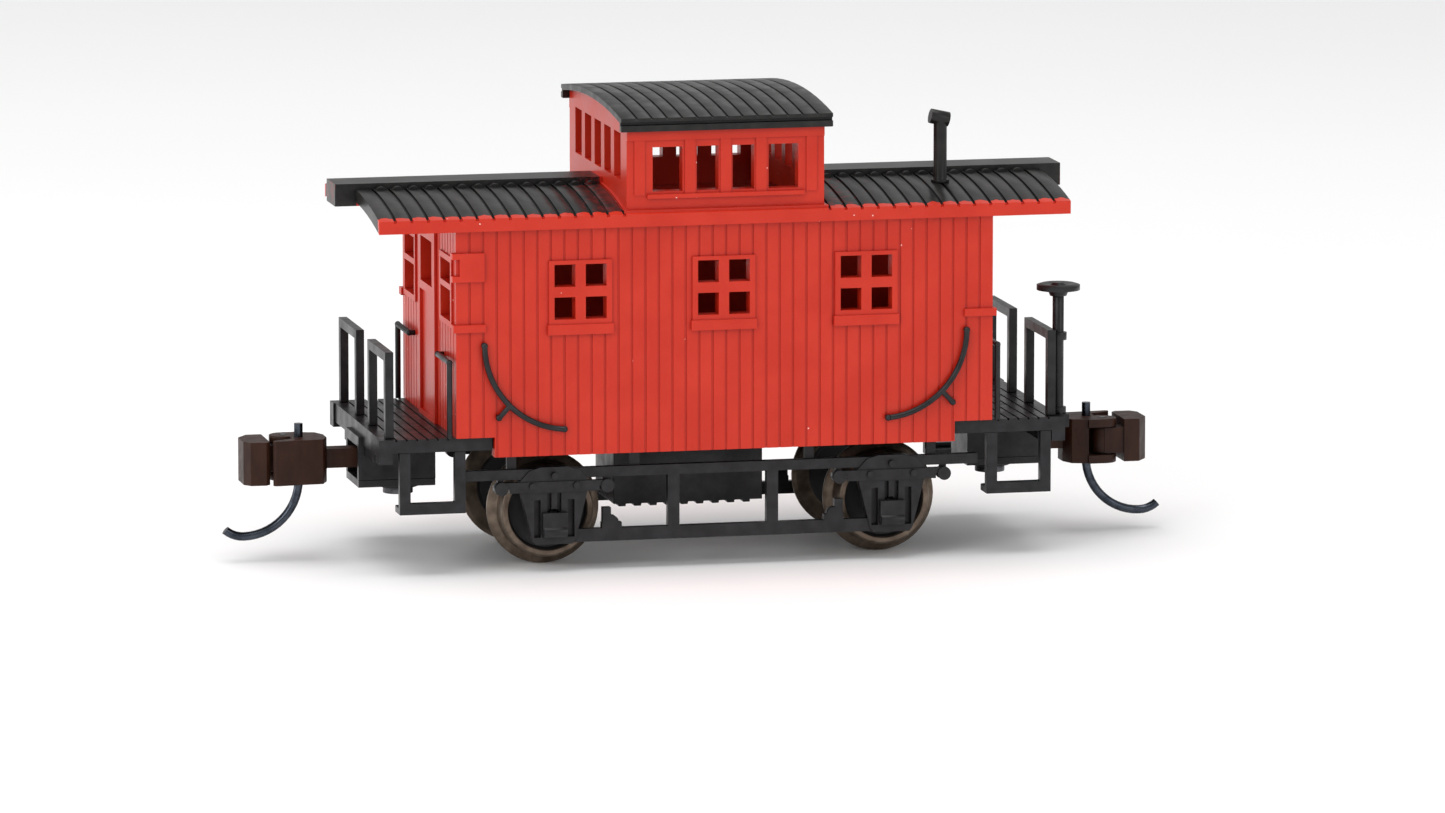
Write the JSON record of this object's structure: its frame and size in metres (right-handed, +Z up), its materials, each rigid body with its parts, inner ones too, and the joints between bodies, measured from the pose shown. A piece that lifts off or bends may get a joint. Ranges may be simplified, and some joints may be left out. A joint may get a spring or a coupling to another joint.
{
  "type": "model railway caboose",
  "caption": "Small four-wheel model railway caboose with boarded body, cupola, end platforms, rolling wheelsets and swinging knuckle couplers.",
  "frame": {"origin": "under the middle of the car, at the lowest point of the wheel flanges", "axes": "+X towards the end with the hand brake, +Y to the left side, +Z up"},
  "size_m": [0.0576, 0.0174, 0.0277],
  "materials": {
    "red_body": "satin",
    "black_roof": "satin",
    "black_frame": "satin",
    "brown_coupler": "satin",
    "trip_steel": "blued, glossy",
    "wheel_metal": "browned",
    "screw_steel": "blackened",
    "ballast_steel": "plain"
  },
  "bodies": {
    "car": {"body_shell": "red_body", "cupola_roof": "black_roof", "smoke_stack": "black_roof", "chassis": "black_frame", "ballast_weight": "ballast_steel", "equipment_box": "black_frame", "side_frame_right": "black_frame", "side_frame_left": "black_frame", "coupler_cover_front": "black_frame", "coupler_cover_rear": "black_frame", "coupler_screws": "screw_steel", "steps_front_right": "black_frame", "steps_front_left": "black_frame", "steps_rear_right": "black_frame", "steps_rear_left": "black_frame", "railing_front_right": "black_frame", "railing_front_left": "black_frame", "railing_rear_right": "black_frame", "railing_rear_left": "black_frame", "handrail_front_right": "black_frame", "handrail_front_left": "black_frame", "handrail_rear_right": "black_frame", "handrail_rear_left": "black_frame", "grab_iron_front_right": "black_frame", "grab_iron_front_left": "black_frame", "grab_iron_rear_right": "black_frame", "grab_iron_rear_left": "black_frame", "brake_staff": "black_frame", "brake_wheel": "black_frame"},
    "wheelset_front": {"axle_front": "screw_steel", "wheel_front_right": "wheel_metal", "wheel_front_left": "wheel_metal"},
    "draft_front": {"coupler_front": "brown_coupler", "knuckle_pin_front": "trip_steel", "trip_wire_front": "trip_steel"},
    "knuckle_front": {"knuckle_front": "brown_coupler"},
    "wheelset_rear": {"axle_rear": "screw_steel", "wheel_rear_right": "wheel_metal", "wheel_rear_left": "wheel_metal"},
    "draft_rear": {"coupler_rear": "brown_coupler", "knuckle_pin_rear": "trip_steel", "trip_wire_rear": "trip_steel"},
    "knuckle_rear": {"knuckle_rear": "brown_coupler"}
  },
  "joints": [
    {"name": "axle_front_spin", "type": "hinge", "parent": "car", "child": "wheelset_front", "pos_m": [0.01025, 0, 0.0034], "axis": [0, 1, 0], "continuous": true},
    {"name": "coupler_front_swing", "type": "hinge", "parent": "car", "child": "draft_front", "pos_m": [0.0182, 0, 0.006], "axis": [0, 0, 1], "range_deg": [-15, 15], "stiffness_Nm_per_rad": 0.00002},
    {"name": "knuckle_front_open", "type": "hinge", "parent": "draft_front", "child": "knuckle_front", "pos_m": [0.02495, -0.001, 0.006], "axis": [0, 0, -1], "range_deg": [0, 25], "stiffness_Nm_per_rad": 0.00001},
    {"name": "axle_rear_spin", "type": "hinge", "parent": "car", "child": "wheelset_rear", "pos_m": [-0.01025, 0, 0.0034], "axis": [0, 1, 0], "continuous": true},
    {"name": "coupler_rear_swing", "type": "hinge", "parent": "car", "child": "draft_rear", "pos_m": [-0.0182, 0, 0.006], "axis": [0, 0, 1], "range_deg": [-15, 15], "stiffness_Nm_per_rad": 0.00002},
    {"name": "knuckle_rear_open", "type": "hinge", "parent": "draft_rear", "child": "knuckle_rear", "pos_m": [-0.02495, 0.001, 0.006], "axis": [0, 0, -1], "range_deg": [0, 25], "stiffness_Nm_per_rad": 0.00001}
  ]
}
